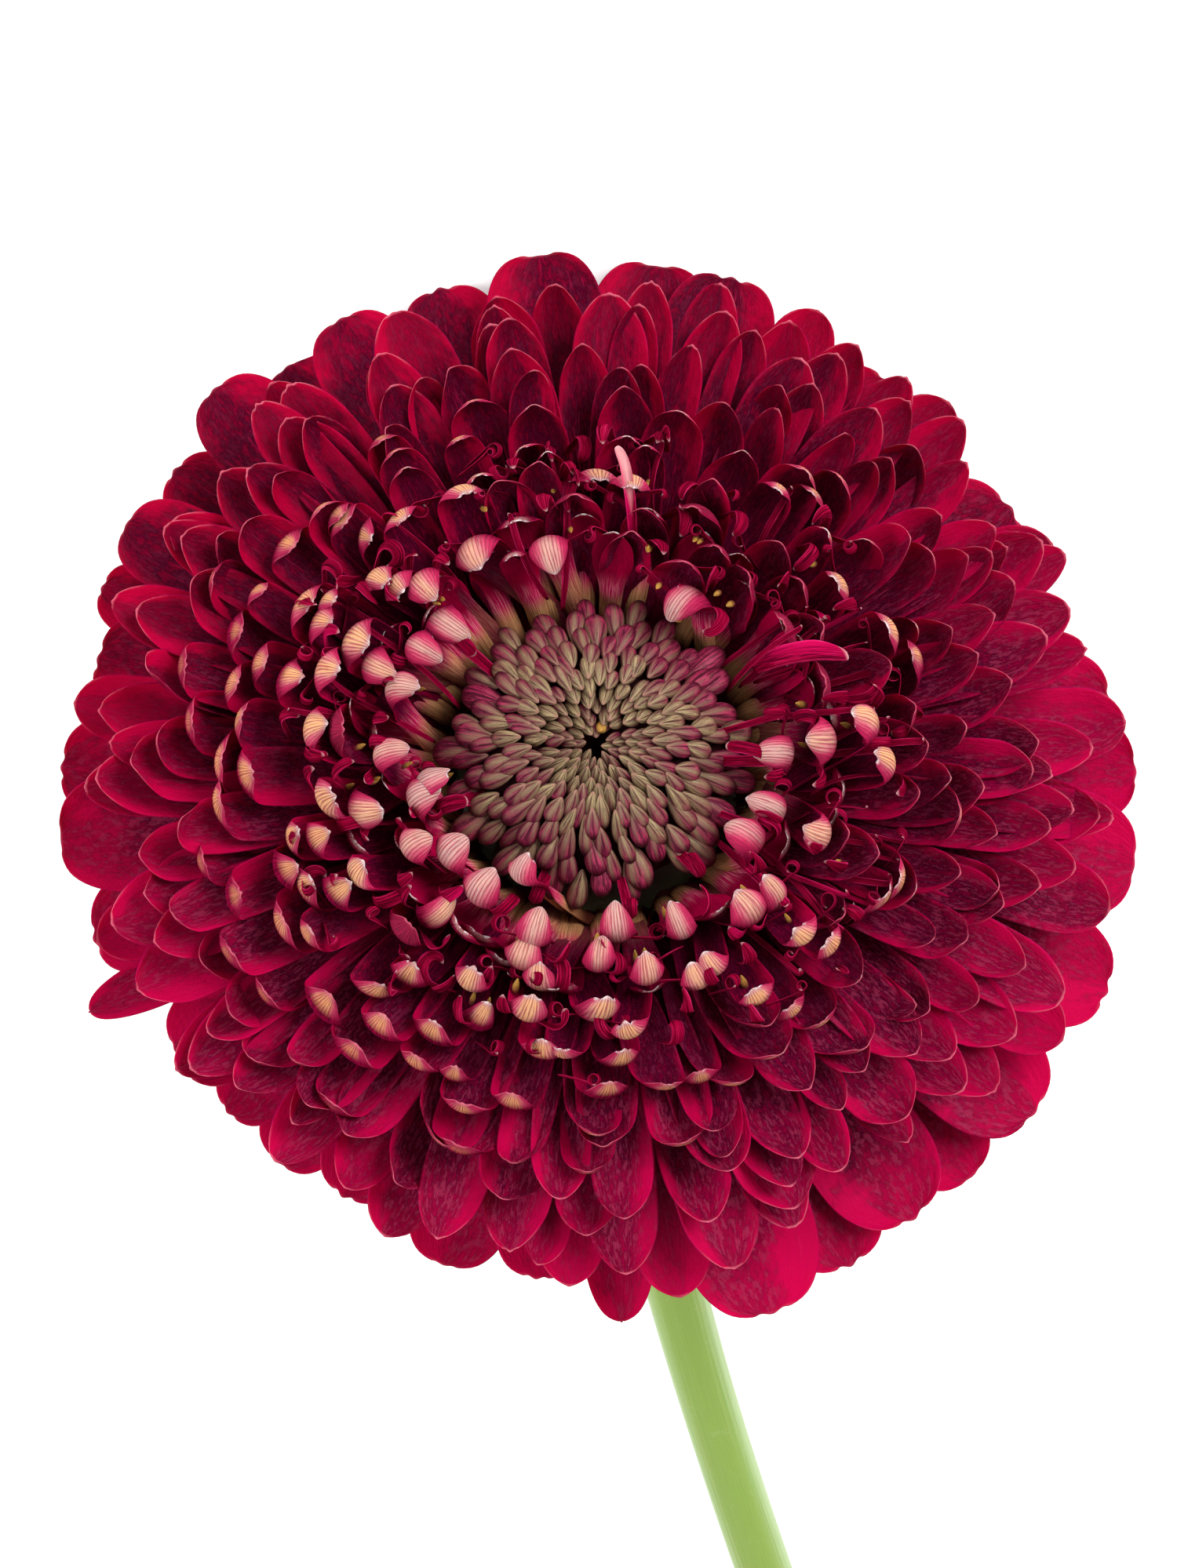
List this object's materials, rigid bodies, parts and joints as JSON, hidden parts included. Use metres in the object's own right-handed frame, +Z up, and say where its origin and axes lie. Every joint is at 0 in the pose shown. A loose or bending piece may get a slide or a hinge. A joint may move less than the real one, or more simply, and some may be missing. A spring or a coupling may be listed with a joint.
{
  "type": "pompon gerbera daisy",
  "caption": "Cut gerbera daisy lying down: a domed head of layered crimson ray florets round a button disc of closed florets, green bracts below and a long bare stalk bent at the neck.",
  "frame": {"origin": "on the table, under the middle of the lying flower's bounding box", "axes": "+Z up, +Y along the stalk towards its cut end; the head is at the -Y end and its face looks up and towards -Y"},
  "size_m": [0.109, 0.3134, 0.081],
  "materials": {
    "stalk": "satin",
    "bract": "matte",
    "outer_ray": "satin",
    "ray": "satin",
    "hooded_floret": "satin",
    "disc_floret": "matte"
  },
  "bodies": {
    "root": {"stalk_and_receptacle": "stalk", "bract_row_01": "bract", "bract_row_02": "bract", "outer_ray_01": "outer_ray", "outer_ray_02": "outer_ray", "outer_ray_03": "outer_ray", "outer_ray_04": "outer_ray", "outer_ray_05": "outer_ray", "outer_ray_06": "outer_ray", "outer_ray_07": "outer_ray", "outer_ray_08": "outer_ray", "outer_ray_09": "outer_ray", "outer_ray_10": "outer_ray", "outer_ray_11": "outer_ray", "outer_ray_12": "outer_ray", "outer_ray_13": "outer_ray", "outer_ray_14": "outer_ray", "outer_ray_15": "outer_ray", "outer_ray_16": "outer_ray", "outer_ray_17": "outer_ray", "outer_ray_18": "outer_ray", "outer_ray_19": "outer_ray", "outer_ray_20": "outer_ray", "outer_ray_21": "outer_ray", "outer_ray_22": "outer_ray", "outer_ray_23": "outer_ray", "outer_ray_24": "outer_ray", "outer_ray_25": "outer_ray", "outer_ray_26": "outer_ray", "outer_ray_27": "outer_ray", "outer_ray_28": "outer_ray", "outer_ray_29": "outer_ray", "outer_ray_30": "outer_ray", "outer_ray_31": "outer_ray", "outer_ray_32": "outer_ray", "outer_ray_33": "outer_ray", "outer_ray_34": "outer_ray", "ray_whorl_01": "ray", "ray_whorl_02": "ray", "ray_whorl_03": "ray", "ray_whorl_04": "ray", "ray_whorl_05": "ray", "hooded_whorl_01": "hooded_floret", "hooded_whorl_02": "hooded_floret", "disc_florets": "disc_floret"}
  },
  "joints": []
}
